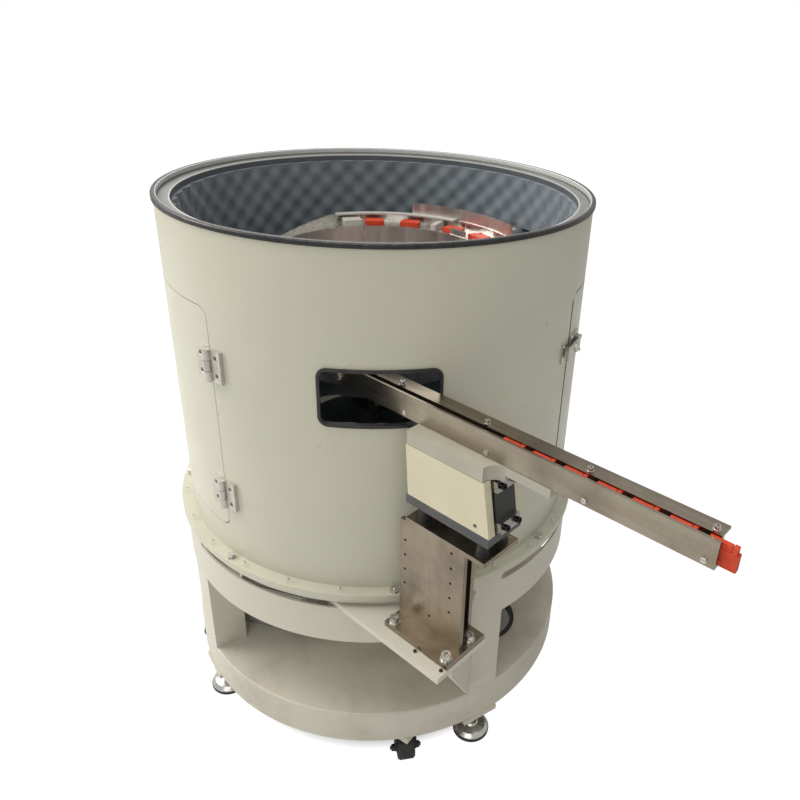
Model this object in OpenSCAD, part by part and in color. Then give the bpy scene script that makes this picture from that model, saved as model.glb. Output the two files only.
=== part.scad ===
// Vibratory bowl feeder in a round sound enclosure, on a pedestal base, with an
// in-line vibratory track. Origin on the bowl's axis at floor level, +Z up,
// track running along +X. Angles are degrees about +Z, counted from +X.

/* [Base drum] */
// Outside radius of the base drum
base_r = 416; // [400:1:460]
// Thickness of the base drum's rolled plate
base_t = 4; // [2:0.5:8]
// Clear height under the lower band
band_gap = 72.5; // [66:0.5:110]
// Height of the lower band, up to the floor disc's top
band_h = 74.5; // [50:0.5:120]
// Thickness of the floor disc
floor_t = 6; // [3:0.5:12]
// Rounding of the band's upper edge
band_edge_r = 3; // [1:0.5:5]
// Height of the windows between the posts
window_h = 188.5; // [120:0.5:260]
// Height of the upper band
upper_h = 104.5; // [80:0.5:160]
// Tangential width of a post
post_w = 70; // [50:1:100]
// Radial depth of a post
post_d = 66; // [40:1:90]
// Direction of the first post
post_az = -14.3; // [-20:0.1:-10]
// Height of the ventilation slots
slot_h = 15; // [8:0.5:20]
// Distance of the slots' upper edge below the drum's top
slot_drop = 11; // [8:0.5:30]
// Angle that one slot spans
slot_span = 79; // [60:1:79]
// Direction of the first slot's middle
slot_az = -60; // [-64:1:-56]
// Radius of the cable hole in the floor disc
cable_hole_r = 70; // [40:1:90]
// Radius at which the cable hole sits
cable_hole_at = 276; // [240:1:290]
// Direction of the cable hole
cable_hole_az = 10; // [0:1:20]
// Width of the rubber edging round the cable hole
grommet_w = 10; // [5:1:15]

/* [Feet and casters] */
// Side of the feet's square pad plates under the band
pad_w = 80; // [64:1:100]
// Thickness of the pad plates
pad_t = 10; // [6:1:16]
// Distance of the feet's pad plates, at their middle, inside the drum's face
pad_in = 38; // [30:1:50]
// Distance of the feet outward from the middle of their pad plates
foot_out = 10; // [0:1:14]
// Side of the casters' pad plates, which stand on a corner
caster_pad_w = 54; // [52:1:58]
// Distance of the casters' swivel axes inside the drum's face
caster_in = 31; // [29:1:40]
// Radius of a foot's rubber rim
foot_r = 38; // [26:1:42]
// Height of a foot's rubber rim
foot_rim_h = 7; // [4:1:10]
// Height of a foot's steel bell above the rim
foot_bell_h = 17; // [10:1:20]
// Radius of the foot's threaded stud
stud_r = 8; // [5:0.5:10]
// Height of a hexagon nut on the stud
nut_h = 12; // [6:1:14]
// Clearance of the stud in its pad plate
stud_clear = 0.8; // [0.4:0.1:1.5]
// Direction of the first caster
caster_az = -36.5; // [-42:0.5:-34]
// Radius of a caster wheel
wheel_r = 25; // [20:0.5:26]
// Width of a caster wheel
wheel_w = 34; // [20:1:38]
// Height of the wheels above the floor while the feet carry
wheel_lift = 2.5; // [1:0.5:6]
// Trail of the wheel's axle behind the swivel axis
caster_trail = 14; // [8:1:20]
// Radius of the caster's axle
axle_r = 4; // [3:0.5:6]
// Radius of the caster's swivel pin
king_r = 6; // [4:0.5:8]
// Radial clearance of pins that turn
run_clear = 0.06; // [0.03:0.01:0.09]

/* [Deck] */
// Radius of the deck plate and of the enclosure's foot flange
deck_r = 423; // [415:1:440]
// Thickness of the deck plate
deck_t = 7; // [4:0.5:12]
// Thickness of the enclosure's foot flange
flange_t = 5; // [3:0.5:8]
// Number of flange bolts
bolt_n = 8; // [4:1:12]
// Distance of the flange bolts inside the deck's edge
bolt_in = 11; // [9:0.5:15]
// Middle of the deck's cable hole along the track
deck_hole_x = -250; // [-280:5:-220]
// Middle of the deck's cable hole across the track
deck_hole_y = -90; // [-120:5:-60]
// Radius of the deck's cable hole
deck_hole_r = 30; // [20:1:40]
// Direction of the first flange bolt
bolt_az = 5; // [0:0.5:20]
// Radius of the flange bolts' shanks
bolt_r = 4; // [3:0.5:5]

/* [Enclosure] */
// Outside radius of the enclosure
enc_r = 400; // [392:1:404]
// Thickness of the enclosure's sheet
enc_t = 2.5; // [1.5:0.5:4]
// Height of the enclosure's wall above the flange
enc_h = 621; // [600:1:700]
// Overlap of the edge trims over the sheet, on each side
trim_over = 3.5; // [2:0.5:6]
// Height of the upper edge trim
trim_h = 8; // [5:0.5:12]
// Height of the upper edge trim above the sheet
trim_rise = 2; // [1:0.5:4]
// Inside radius of the annular top plate
rim_r = 373; // [362:1:380]
// Thickness of the annular top plate
rim_t = 2; // [1:0.5:4]
// Depth of the top plate below the sheet's edge
rim_drop = 9; // [7:0.5:20]
// Height of the top plate's inner lip
rim_lip = 12; // [6:1:25]
// Thickness of the acoustic foam
foam_t = 34; // [25:1:55]
// Clearance round soft foam
foam_clear = 0.3; // [0.2:0.1:1]

/* [Window] */
// Direction of the window's middle
win_az = -43.25; // [-46:0.25:-41]
// Width of the window, straight across
win_w = 190; // [170:1:220]
// Height of the window's lower edge above the floor
win_z = 780; // [760:1:786]
// Height of the window
win_h = 95; // [80:1:120]
// Corner radius of the window
win_corner = 14; // [10:1:35]
// Overlap of the window's edging over the sheet
win_trim = 3; // [2:0.5:10]

/* [Doors] */
// Height of the doors' lower edge above the floor
door_z = 510; // [490:1:540]
// Height of the doors
door_h = 425; // [380:1:440]
// Angle that one door spans
door_span = 60; // [45:1:62]
// Direction of the left door's hinge seam
left_az = -86.5; // [-90:0.5:-84]
// Direction of the right door's latch seam
right_az = 14.5; // [12:0.5:20]
// Corner radius of the doors
door_corner = 18; // [10:1:30]
// Gap round the left door
left_gap = 1.6; // [1:0.1:4]
// Gap round the right door
right_gap = 4; // [1:0.1:5]
// Height of the lower hinges' middle above the floor
hinge_z = 586; // [560:1:600]
// Distance between a door's two hinges
hinge_pitch = 253; // [180:1:280]
// Height of a hinge
hinge_h = 57; // [40:1:70]
// Width of one hinge leaf
leaf_w = 31; // [24:1:40]
// Thickness of a hinge leaf
leaf_t = 5.5; // [4:0.5:7]
// Radius of the hinge knuckles
knuckle_r = 7; // [6:0.5:8]
// Radius of the hinge pins
pin_r = 3.5; // [2.5:0.5:4]
// Gap between knuckles and between moving hinge faces
knuckle_gap = 0.4; // [0.3:0.1:1]
// Height of the latches' middle above the floor
latch_z = 831; // [720:1:860]
// Height of a latch's base
latch_h = 46; // [36:1:56]
// Width of a latch's base
latch_w = 40; // [32:1:48]

/* [Track shelf] */
// Reach of the shelf's right edge from the bowl's axis
shelf_x = 486; // [480:1:520]
// Front edge of the shelf
shelf_y0 = -336; // [-350:1:-330]
// Rear edge of the shelf
shelf_y1 = -216; // [-220:1:-200]
// Thickness of the shelf
shelf_t = 11; // [6:0.5:12]
// Thickness of the gusset
gusset_t = 6; // [4:0.5:10]
// Height of the gusset's foot above the floor disc
gusset_foot = 14; // [8:1:60]
// Height of the gusset's outer edge
gusset_tip = 16; // [8:1:40]

/* [Track bracket] */
// Left edge of the bracket's base plate
plate_x = 342; // [336:1:346]
// Length of the bracket's base plate
plate_w = 143; // [138:1:146]
// Front edge of the bracket's base plate
plate_y = -314; // [-318:1:-312]
// Depth of the bracket's base plate
plate_d = 94; // [88:1:98]
// Thickness of the bracket's base plate
plate_t = 10; // [6:0.5:14]
// Left base bolts' position
cap_x = 356; // [355:0.5:360]
// Bolt spacing along the track
cap_dx = 118; // [100:1:120]
// Front base bolts' position
cap_y = -304; // [-306:0.5:-302]
// Bolt spacing across the track
cap_dy = 58; // [50:1:60]
// Radius of the base bolts' shanks
cap_r = 5; // [4:0.5:6]
// Height of the uprights
upright_h = 195; // [160:1:230]
// Thickness of the uprights
upright_t = 8; // [5:0.5:12]
// Front face of the front upright and of the drive
front_y = -276; // [-280:1:-272]
// Width of the front upright
upright_w = 138; // [132:1:142]
// Left edge of the front upright
upright_x = 340; // [338:1:344]
// Front face of the rear upright
rear_y = -229; // [-234:1:-226]
// Left edge of the rear upright
rear_x = 370; // [366:1:378]
// Right edge of the rear upright
rear_x1 = 456; // [440:1:470]
// Pitch of the tapped adjustment holes
tap_pitch = 30; // [25:0.5:32]
// Radius of the tapped adjustment holes
tap_r = 2.5; // [2:0.25:4]
// Lowest adjustment holes above the base plate
tap_z = 66; // [50:1:70]
// Left column of adjustment holes
tap_x = 351.5; // [348:0.5:360]
// Spacing of the two columns of adjustment holes
tap_dx = 100.5; // [90:0.5:104]

/* [In-line drive] */
// Left end of the drive's base block
drive_x = 352; // [350:1:356]
// Length of the drive's base block
drive_w = 168; // [166:1:176]
// Width of the drive across the track
drive_d = 80; // [70:1:82]
// Height of the rubber mounts
mount_h = 30; // [15:1:35]
// Radius of the rubber mounts
mount_r = 12; // [8:1:14]
// Height of the drive's base block
block_h = 17; // [12:1:30]
// Height of the clamp pedestal on the base block
pedestal_h = 24; // [20:1:28]
// Lean of the leaf springs
lean = 10; // [5:1:14]
// Distance along the track between the two spring packs
spring_pitch = 112; // [100:1:114]
// Width of a leaf spring
spring_w = 46; // [36:1:52]
// Thickness of one leaf
leaf_spring_t = 1.8; // [1:0.1:2.4]
// Thickness of the spacers between leaves
spacer_t = 1.4; // [0.8:0.1:2]
// Leaves in one pack
leaf_n = 4; // [2:1:4]
// Height between the base block and the arm
spring_rise = 91; // [80:1:110]
// Thickness of the drive arm
arm_t = 24; // [14:1:26]
// Height of the clamp block under the arm
arm_block_h = 26; // [20:1:30]
// Length of the arm's wide part
arm_w = 150; // [140:1:156]
// Length of the arm's narrow part beyond the wide part
arm_nose = 98; // [60:1:110]
// Radius of the arm's concave corner
arm_corner = 22; // [12:1:24]
// Front face of the arm's narrow part
nose_y = -252; // [-254:1:-248]
// Wall of the drive's covers
cover_t = 3; // [2:0.5:5]
// Depth of the drive's covers
cover_d = 15; // [10:1:16]
// Width of the bevel on the covers' right edge
cover_bevel = 11; // [5:1:12]
// Running gap round vibrating pieces
shake_gap = 1; // [0.6:0.1:2]

/* [Track] */
// Middle of the track's slot
track_y = -241; // [-243:0.5:-239]
// Width of the slot between the rails
track_slot = 9.5; // [7:0.5:12]
// Outer end of the front rail
track_x1 = 830; // [760:1:900]
// Inner end of the track
track_x0 = 172; // [168:1:190]
// Height of the rails
rail_h = 40; // [34:1:44]
// Thickness of the front rail
rail_t = 4.5; // [3:0.5:6]
// Thickness of the track's floor strip
track_floor_t = 5; // [3:0.5:8]
// Thickness of the back rail under its cover
back_t = 8; // [5:0.5:12]
// Depth of the top cover plate
cover_plate_d = 26; // [18:1:30]
// Thickness of the top cover plate
cover_plate_t = 4; // [2:0.5:6]
// Spacing of the screws along the rails
screw_pitch = 165; // [120:5:180]
// Length of a fed connector housing
part_l = 42; // [30:1:46]
// Gap between the fed housings
part_gap = 9; // [4:1:20]

/* [Bowl] */
// Outside radius of the bowl
bowl_r = 285; // [270:1:300]
// Wall of the bowl
bowl_t = 3; // [2:0.5:5]
// Height of the bowl's wall
bowl_h = 194; // [160:1:210]
// Width of the spiral track
spiral_w = 34; // [24:1:40]
// Thickness of the spiral track
spiral_t = 3; // [2:0.5:5]
// Turns of the rising spiral
spiral_turns = 2; // [1.5:0.25:2.5]
// Direction in which the spiral ends and the outer pan begins
spiral_a1 = 40; // [20:5:60]
// Outer radius of the bowl's inner wall
inner_r = 223; // [200:1:240]
// Height of the bowl's underside above the floor
bowl_z = 758; // [745:1:775]
// Height of the outer pan's guard
guard_h = 15; // [8:1:25]
// Direction in which the outer pan begins to fall
slope_a = 160; // [120:5:180]
// Length over which the discharge chute falls
chute_l = 268; // [240:1:280]
// Width of the discharge chute
chute_w = 34; // [28:1:40]
// Height of the curved guide sheet above the bowl's edge
guide_rise = 26; // [10:1:40]

/* [Bowl drive unit] */
// Radius of the base casting
unit_r = 205; // [180:1:230]
// Height of the base casting
unit_h = 56; // [40:1:70]
// Height of the unit's rubber feet
unit_foot_h = 34; // [25:1:45]
// Radius of the unit's rubber feet
unit_foot_r = 22; // [16:1:28]
// Radius at which the spring packs stand
pack_at = 158; // [140:1:170]
// Lean of the spring packs
pack_lean = 16; // [10:1:20]
// Width of the spring packs
pack_w = 44; // [34:1:50]
// Radius of the top plate
top_r = 215; // [190:1:230]
// Thickness of the top plate
top_t = 26; // [18:1:34]
// Radius of the centre bolt
centre_r = 12; // [8:1:16]

/* [Controller] */
// Corner of the controller box along the track
box_x = -94; // [-110:1:-80]
// Corner of the controller box across the track
box_y = -324; // [-330:1:-310]
// Length of the controller box
box_w = 150; // [110:1:180]
// Depth of the controller box
box_d = 110; // [90:1:130]
// Height of the controller box
box_h = 120; // [80:1:160]
// Turn of the controller box
box_turn = 25; // [20:1:30]

/* [Hidden] */
$fn = 64;

eps = 0.02;
seat = 0.05;
weld = 1;
join_gap = 0.3;
floor_z = band_gap + band_h;
win_top = floor_z + window_h;
drum_z = win_top + upper_h;
deck_z = drum_z + deck_t;
ledge_z = deck_z + flange_t;
enc_z = ledge_z + enc_h;
slot_z = drum_z - slot_drop - slot_h;
post_in = base_r - post_d;
cable_x = cable_hole_at * cos(cable_hole_az);
cable_y = cable_hole_at * sin(cable_hole_az);
pad_at = base_r - pad_in;
foot_at = pad_at + foot_out;
caster_at = base_r - caster_in;
bolt_at = deck_r - bolt_in;
axle_z = wheel_lift + wheel_r;
fork_top = band_gap - pad_t - 4;
fork_t = 3;
fork_gap = 2;
rim_z = enc_z - rim_drop;
foam_ro = enc_r - enc_t - foam_clear;
foam_ri = foam_ro - foam_t;
foam_top = rim_z - rim_lip - foam_clear;
hinge_at = enc_r + knuckle_r + knuckle_gap;
left_az1 = left_az - door_span;
right_az1 = right_az + door_span;
shelf_z = slot_z + slot_h - 4;
plate_z = shelf_z + plate_t;
top_plate_z = plate_z + upright_h + upright_t;
drive_y1 = front_y + drive_d;
drive_yc = front_y + drive_d / 2;
block_z = top_plate_z + mount_h;
block_top = block_z + block_h;
pedestal_z = block_top + pedestal_h;
arm_z = block_top + spring_rise;
arm_top = arm_z + arm_t;
drive_x1 = drive_x + drive_w;
spring_zc = block_top + pedestal_h / 2;
spring_x = drive_x1 - 9;
pack_t = leaf_n * leaf_spring_t + (leaf_n - 1) * spacer_t;
enc_clear = enc_r + 4;
rail_y0 = track_y - track_slot / 2 - rail_t;
slot_y0 = track_y - track_slot / 2;
slot_y1 = track_y + track_slot / 2;
rail_z1 = arm_top + rail_h;
part_z = arm_top + track_floor_t;
back_x1 = track_x1 - 4;
unit_z = deck_z + unit_foot_h;
unit_top_z = unit_z + unit_h;
top_z = bowl_z - top_t;
bowl_top = bowl_z + bowl_h;
pack_zc = (unit_top_z + top_z) / 2;
pack_len = (top_z - unit_top_z) / cos(pack_lean) - 14;

pack_dx = pack_t / cos(lean);
nose_t = arm_t - 10;
latch_pin_x = -38;
latch_pin_y = 7;
latch_ear = 12;
latch_hook = 24;
latch_claw = 4.5;
latch_rib = 6;
pan_z = bowl_top - 2 - guard_h;
pan_mid = (inner_r + bowl_r - bowl_t) / 2;
pan_step = 5;
pan_ri = (inner_r + seat) / cos(pan_step / 2);
chute_z = part_z + 10;
spiral_a0 = spiral_a1 - 360 * spiral_turns;
spiral_n = 36 * spiral_turns;
coil_z = unit_top_z + 84;
armature_z = top_z - 30;

function pol(r, a) = [r * cos(a), r * sin(a)];

// ---------- shared shapes ----------

// A curved, upright panel between two directions and two heights.
module panel(a0, a1, z0, z1, ri, ro) {
  rotate([0, 0, a0]) rotate_extrude(angle = a1 - a0, $fn = 180)
    translate([ri, z0]) square([ro - ri, z1 - z0]);
}

// A horizontal prism with round corners that points outward in one direction.
module round_prism(az, half_w, z0, z1, rc, r0, r1) {
  rotate([0, 0, az]) translate([r0, 0, 0]) union() {
    translate([0, -half_w + rc, z0]) cube([r1 - r0, 2 * (half_w - rc), z1 - z0]);
    translate([0, -half_w, z0 + rc]) cube([r1 - r0, 2 * half_w, z1 - z0 - 2 * rc]);
    for (y = [-1, 1], z = [z0 + rc, z1 - rc]) translate([0, y * (half_w - rc), z]) rotate([0, 90, 0])
      cylinder(r = rc, h = r1 - r0, $fn = 64);
  }
}

module ring(ri, ro, z0, z1) {
  translate([0, 0, z0]) difference() {
    cylinder(r = ro, h = z1 - z0, $fn = 180);
    translate([0, 0, -1]) cylinder(r = ri, h = z1 - z0 + 2, $fn = 180);
  }
}

module hex(af, h) {
  cylinder(r = af / 2 / cos(30), h = h, $fn = 6);
}

// Socket cap screw with its washer, head up, its seat at the origin.
module cap_screw(r, below, washer_t) {
  difference() {
    union() {
      translate([0, 0, -below]) cylinder(r = r, h = below + washer_t + eps, $fn = 32);
      translate([0, 0, washer_t]) cylinder(r = 1.6 * r, h = 2 * r, $fn = 32);
      cylinder(r = 2 * r, h = washer_t, $fn = 32);
    }
    translate([0, 0, washer_t + r]) hex(1.6 * r, r + 1);
  }
}

// ---------- base ----------

module base_drum() {
  color([0.76, 0.74, 0.67]) difference() {
    union() {
      ring(base_r - base_t, base_r, band_gap, floor_z - floor_t);
      rotate_extrude($fn = 180) union() {
        translate([0, floor_z - floor_t]) square([base_r - band_edge_r, floor_t]);
        translate([0, floor_z - floor_t]) square([base_r, floor_t - band_edge_r]);
        translate([base_r - band_edge_r, floor_z - band_edge_r]) circle(r = band_edge_r, $fn = 32);
      }
      ring(base_r - base_t, base_r, win_top, drum_z);
      for (k = [0:3]) rotate([0, 0, post_az + 90 * k]) post();
      for (k = [0:3]) rotate([0, 0, post_az + 90 * k])
        translate([pad_at - pad_w / 2, -pad_w / 2, band_gap - pad_t]) cube([pad_w, pad_w, pad_t + weld]);
      for (k = [1:4]) at_caster(k) rotate([0, 0, 45])
        translate([-caster_pad_w / 2, -caster_pad_w / 2, band_gap - pad_t])
        cube([caster_pad_w, caster_pad_w, pad_t + weld]);
    }
    for (k = [0:3]) rotate([0, 0, slot_az + 90 * k]) vent_slot();
    translate([cable_x, cable_y, floor_z - floor_t - 1]) cylinder(r = cable_hole_r, h = floor_t + 2, $fn = 96);
    for (k = [0:3]) rotate([0, 0, post_az + 90 * k]) translate([foot_at, 0, band_gap - pad_t - 1])
      cylinder(r = stud_r + stud_clear, h = pad_t + weld + 2, $fn = 32);
  }
}

// Hollow box post that carries the upper band and the deck.
module post() {
  intersection() {
    difference() {
      translate([post_in, -post_w / 2, floor_z - eps]) cube([post_d + 10, post_w, drum_z - floor_z + eps]);
      translate([post_in + base_t, -post_w / 2 + base_t, floor_z])
        cube([post_d - 2 * base_t - 2, post_w - 2 * base_t, drum_z - floor_z - base_t]);
    }
    cylinder(r = base_r, h = 2 * drum_z, $fn = 180);
  }
}

module vent_slot() {
  rotate([0, 0, -slot_span / 2]) rotate_extrude(angle = slot_span, $fn = 180)
    translate([base_r - base_t - 1, slot_z]) square([base_t + 2, slot_h]);
  for (s = [-1, 1]) rotate([0, 0, s * slot_span / 2])
    translate([base_r - base_t - 1, 0, slot_z + slot_h / 2]) rotate([0, 90, 0])
      cylinder(r = slot_h / 2, h = base_t + 2, $fn = 32);
}

module cable_grommet() {
  color([0.08, 0.08, 0.08]) translate([cable_x, cable_y, 0]) rotate_extrude($fn = 96) difference() {
    translate([cable_hole_r - 3, floor_z - floor_t - 3])
      square([grommet_w - 1, floor_t + 6]);
    translate([cable_hole_r - seat, floor_z - floor_t - seat]) square([grommet_w, floor_t + 2 * seat]);
  }
}

module controller_box() {
  color([0.16, 0.17, 0.18]) translate([box_x, box_y, floor_z]) rotate([0, 0, box_turn]) union() {
    cube([box_w, box_d, box_h]);
    translate([4, -3, 8]) cube([box_w - 8, 3 + eps, box_h - 16]);
    for (x = [25, 50, 75]) translate([x, -3 + eps, 28]) rotate([90, 0, 0]) cylinder(r = 8, h = 9, $fn = 32);
    translate([box_w - 40, -3 + eps, box_h - 36]) rotate([90, 0, 0]) cylinder(r = 11, h = 12, $fn = 32);
    for (x = [30, 60, 90]) translate([x, box_d - eps, 30]) rotate([-90, 0, 0]) cylinder(r = 9, h = 14, $fn = 32);
  }
}

// Stud, steel bell and the two nuts that clamp the pad plate.
module foot_studs() {
  color([0.72, 0.71, 0.69]) for (k = [0:3]) rotate([0, 0, post_az + 90 * k]) translate([foot_at, 0, 0]) {
    rotate_extrude($fn = 64) polygon([
      [0, foot_rim_h - 3], [foot_r - 5, foot_rim_h - 3], [foot_r - 5, foot_rim_h], [foot_r - 1, foot_rim_h],
      [foot_r - 1.5, foot_rim_h + 3], [foot_r - 8, foot_rim_h + 0.55 * foot_bell_h],
      [stud_r + 7, foot_rim_h + 0.8 * foot_bell_h], [stud_r + 4, foot_rim_h + foot_bell_h],
      [stud_r, foot_rim_h + foot_bell_h], [stud_r, band_gap + nut_h + 16], [stud_r - 1, band_gap + nut_h + 17],
      [0, band_gap + nut_h + 17]]);
    for (z = [band_gap - pad_t - nut_h, band_gap + weld]) translate([0, 0, z]) difference() {
      hex(3 * stud_r, nut_h);
      translate([0, 0, -1]) cylinder(r = stud_r + eps, h = nut_h + 2, $fn = 32);
    }
  }
}

module foot_pads() {
  color([0.06, 0.06, 0.06]) for (k = [0:3]) rotate([0, 0, post_az + 90 * k]) translate([foot_at, 0, 0])
    rotate_extrude($fn = 64) polygon([
      [0, 0], [foot_r - 1, 0], [foot_r, 1.5], [foot_r, foot_rim_h - eps], [foot_r - 5 + eps, foot_rim_h - eps],
      [foot_r - 5 + eps, foot_rim_h - 3 - eps], [0, foot_rim_h - 3 - eps]]);
}

module at_caster(k) {
  rotate([0, 0, caster_az + 90 * (k - 1)]) translate([caster_at, 0, 0]) children();
}

module caster_mounts() {
  color([0.6, 0.6, 0.6]) for (k = [1:4]) at_caster(k) difference() {
    rotate([0, 0, 45]) translate([2 - caster_pad_w / 2, 2 - caster_pad_w / 2, fork_top])
      cube([caster_pad_w - 4, caster_pad_w - 4, 4]);
    translate([0, 0, fork_top - 1]) cylinder(r = king_r + run_clear, h = 6, $fn = 48);
  }
}

module caster_fork(k) {
  ear_y = wheel_w / 2 + fork_gap;
  color([0.07, 0.07, 0.07]) at_caster(k) {
    union() {
      translate([0, 0, fork_top - seat * 4 - fork_t]) cylinder(r = 22, h = fork_t, $fn = 64);
      translate([0, 0, fork_top - 1]) cylinder(r = king_r, h = 4.5, $fn = 48);
      for (s = [-1, 1]) translate([0, s > 0 ? ear_y + fork_t : -ear_y, 0]) rotate([90, 0, 0])
        linear_extrude(height = fork_t) difference() {
          union() {
            polygon([[-14, fork_top - 1.5], [16, fork_top - 1.5], [caster_trail + 8, axle_z], [caster_trail - 8, axle_z]]);
            translate([caster_trail, axle_z]) circle(r = 8, $fn = 48);
          }
          translate([caster_trail, axle_z]) circle(r = axle_r + eps, $fn = 48);
        }
    }
    translate([caster_trail, ear_y + fork_t + 9, axle_z]) rotate([90, 0, 0])
      cylinder(r = axle_r, h = 2 * (ear_y + fork_t + 9), $fn = 48);
    for (s = [-1, 1]) translate([caster_trail, s > 0 ? ear_y + fork_t + 6 : -ear_y - fork_t, axle_z])
      rotate([90, 0, 0]) difference() {
        hex(3.2 * axle_r, 6);
        translate([0, 0, -1]) cylinder(r = axle_r + eps, h = 8, $fn = 48);
      }
  }
}

module caster_wheel(k) {
  color([0.05, 0.05, 0.05]) at_caster(k) translate([caster_trail, 0, axle_z]) rotate([90, 0, 0])
    rotate_extrude($fn = 64) polygon([
      [axle_r + run_clear, -wheel_w / 2 - 1], [axle_r + 4, -wheel_w / 2 - 1], [axle_r + 5, -wheel_w / 2 + 2],
      [wheel_r - 7, -wheel_w / 2 + 2], [wheel_r - 6, -wheel_w / 2], [wheel_r - 3, -wheel_w / 2],
      [wheel_r, -wheel_w / 2 + 4], [wheel_r, wheel_w / 2 - 4], [wheel_r - 3, wheel_w / 2],
      [wheel_r - 6, wheel_w / 2], [wheel_r - 7, wheel_w / 2 - 2], [axle_r + 5, wheel_w / 2 - 2],
      [axle_r + 4, wheel_w / 2 + 1], [axle_r + run_clear, wheel_w / 2 + 1]]);
}

// ---------- deck and enclosure ----------

module bolt_places() {
  for (k = [0:bolt_n - 1]) rotate([0, 0, bolt_az + 360 / bolt_n * k]) translate([bolt_at, 0, 0]) children();
}

module deck_plate() {
  color([0.76, 0.74, 0.67]) difference() {
    translate([0, 0, drum_z]) cylinder(r = deck_r, h = deck_t, $fn = 180);
    bolt_places() translate([0, 0, drum_z - 1]) cylinder(r = bolt_r + 0.3, h = deck_t + 2, $fn = 32);
    translate([deck_hole_x, deck_hole_y, drum_z - 1]) cylinder(r = deck_hole_r, h = deck_t + 2, $fn = 64);
  }
}

// Hexagon bolts through the flange and the deck, clear of the drum's wall below.
module flange_bolts() {
  color([0.7, 0.7, 0.68]) bolt_places() translate([0, 0, ledge_z]) {
    translate([0, 0, -deck_t - flange_t + 0.3]) cylinder(r = bolt_r, h = deck_t + flange_t + 2, $fn = 32);
    cylinder(r = 2 * bolt_r, h = 1.6, $fn = 32);
    translate([0, 0, 1.6]) hex(3.25 * bolt_r, 5.5);
  }
}

module enclosure_shell() {
  color([0.78, 0.76, 0.69]) difference() {
    union() {
      ring(enc_r - enc_t, enc_r, deck_z, enc_z);
      ring(enc_r - enc_t, deck_r, deck_z, ledge_z);
    }
    window_prism(0);
    door_prism(left_az - door_span / 2, left_gap / 2);
    door_prism(right_az + door_span / 2, right_gap / 2);
    bolt_places() translate([0, 0, deck_z - 1]) cylinder(r = bolt_r + 0.3, h = flange_t + 2, $fn = 32);
  }
}

// The window's and a door's outline, grown by a margin on every side.
module window_prism(grow) {
  round_prism(win_az, win_w / 2 + grow, win_z - grow, win_z + win_h + grow,
    win_corner + grow, enc_r / 2, enc_r + 20);
}

module door_prism(az, grow) {
  round_prism(az, enc_r * sin(door_span / 2) + grow, door_z - grow, door_z + door_h + grow,
    door_corner + grow, enc_r - 120, enc_r + 20);
}

module rim_plate() {
  color([0.42, 0.43, 0.43]) {
    rotate_extrude($fn = 180) polygon([
      [rim_r, rim_z - rim_lip], [rim_r + rim_t, rim_z - rim_lip], [rim_r + rim_t, rim_z - rim_t],
      [enc_r - enc_t - seat, rim_z - rim_t], [enc_r - enc_t - seat, rim_z], [rim_r, rim_z]]);
  }
}

module rim_trim() {
  color([0.07, 0.07, 0.07]) rotate_extrude($fn = 180) difference() {
    union() {
      translate([enc_r - enc_t - trim_over, enc_z + trim_rise - trim_h]) square([enc_t + 2 * trim_over, trim_h - 2]);
      translate([enc_r - enc_t - trim_over + 2, enc_z + trim_rise - 3]) square([enc_t + 2 * trim_over - 4, 3]);
      for (x = [enc_r - enc_t - trim_over + 2, enc_r + trim_over - 2])
        translate([x, enc_z + trim_rise - 2]) circle(r = 2, $fn = 24);
    }
    translate([enc_r - enc_t - seat, enc_z - trim_h]) square([enc_t + 2 * seat, trim_h + seat]);
  }
}

module window_trim() {
  z = win_z + win_h / 2;
  color([0.07, 0.07, 0.07]) difference() {
    intersection() {
      ring(enc_r - enc_t - trim_over, enc_r + trim_over, z - win_h, z + win_h);
      window_prism(win_trim);
    }
    window_prism(-2);
    difference() {
      ring(enc_r - enc_t - seat, enc_r + seat, z - 2 * win_h, z + 2 * win_h);
      window_prism(-seat);
    }
  }
}

// Foam round the inside of the sheet, cut away round the window and the doors.
module foam_lining() {
  a = 180 / PI / foam_ro;
  color([0.24, 0.27, 0.31]) difference() {
    ring(foam_ri, foam_ro, deck_z + foam_clear, foam_top);
    panel(win_az - (win_w / 2 + 20) * a, win_az + (win_w / 2 + 20) * a, win_z - 14, win_z + win_h + 14,
      foam_ri - 2, foam_ro + 2);
    for (a0 = [left_az1, right_az])
      panel(a0 - 16 * a, a0 + door_span + 22 * a, door_z - 10, door_z + door_h + 10, foam_ri - 2, foam_ro + 2);
  }
}

// A door of the enclosure's own sheet, and the foam behind it.
module door_sheet(az, gap) {
  color([0.78, 0.76, 0.69]) intersection() {
    ring(enc_r - enc_t, enc_r, door_z - 10, door_z + door_h + 10);
    door_prism(az, -gap / 2);
  }
}

module door_foam(az) {
  a = 180 / PI / foam_ro;
  color([0.24, 0.27, 0.31])
    panel(az + 14 * a, az + door_span - 14 * a, door_z + 14, door_z + door_h - 14, foam_ri, foam_ro);
}

// ---------- hinges and latches ----------

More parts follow.
